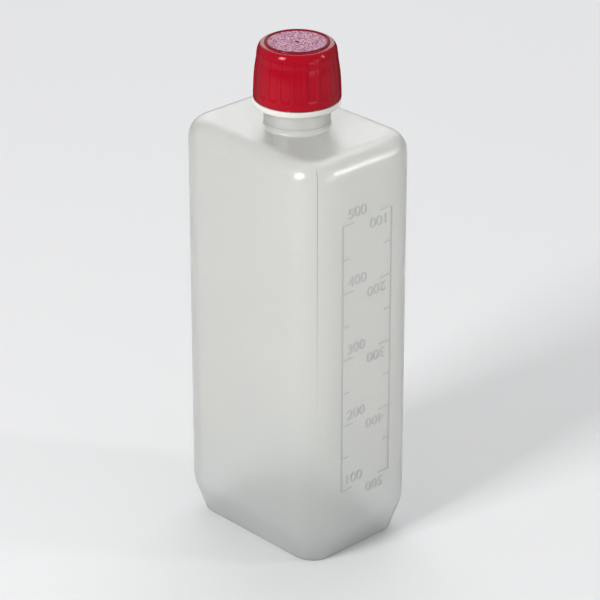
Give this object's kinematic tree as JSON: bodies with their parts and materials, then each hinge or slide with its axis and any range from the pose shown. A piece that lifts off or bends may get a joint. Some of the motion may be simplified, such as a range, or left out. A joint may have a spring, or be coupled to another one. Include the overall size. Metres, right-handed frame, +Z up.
{
  "type": "rectangular laboratory bottle",
  "caption": "Tall rectangular translucent plastic bottle with rounded corners, a raised two-way volume scale, a ribbed screw cap, a liner and a tamper ring on its neck.",
  "frame": {"origin": "centre of the foot, on the surface the bottle stands on", "axes": "+Z up along the bottle's and the cap's common axis; -Y is the outward normal of the face that carries the scale; X runs across that face"},
  "size_m": [0.0554, 0.074, 0.196],
  "materials": {
    "bottle_plastic": "natural translucent HDPE, satin, milky",
    "cap_plastic": "glossy red polypropylene",
    "liner_foam": "closed-cell white polyethylene foam",
    "ring_plastic": "satin white polypropylene"
  },
  "bodies": {
    "bottle": {"bottle": "bottle_plastic"},
    "liner": {"seal_liner": "liner_foam"},
    "cap": {"screw_cap": "cap_plastic"},
    "ring": {"tamper_ring": "ring_plastic"}
  },
  "joints": [
    {"name": "cap_lift", "type": "slide", "parent": "bottle", "child": "liner", "axis": [0, 0, 1], "range_m": [0, 0.0256]},
    {"name": "cap_turn", "type": "hinge", "parent": "liner", "child": "cap", "pos_m": [0, 0, 0.185], "axis": [0, 0, 1], "range_deg": [0, 2880]},
    {"name": "ring_turn", "type": "hinge", "parent": "bottle", "child": "ring", "pos_m": [0, 0, 0.173], "axis": [0, 0, 1], "continuous": true}
  ],
  "couplings": [
    {"joint": "cap_lift", "follows": "cap_turn", "m_per_rad": 0.0005093}
  ]
}
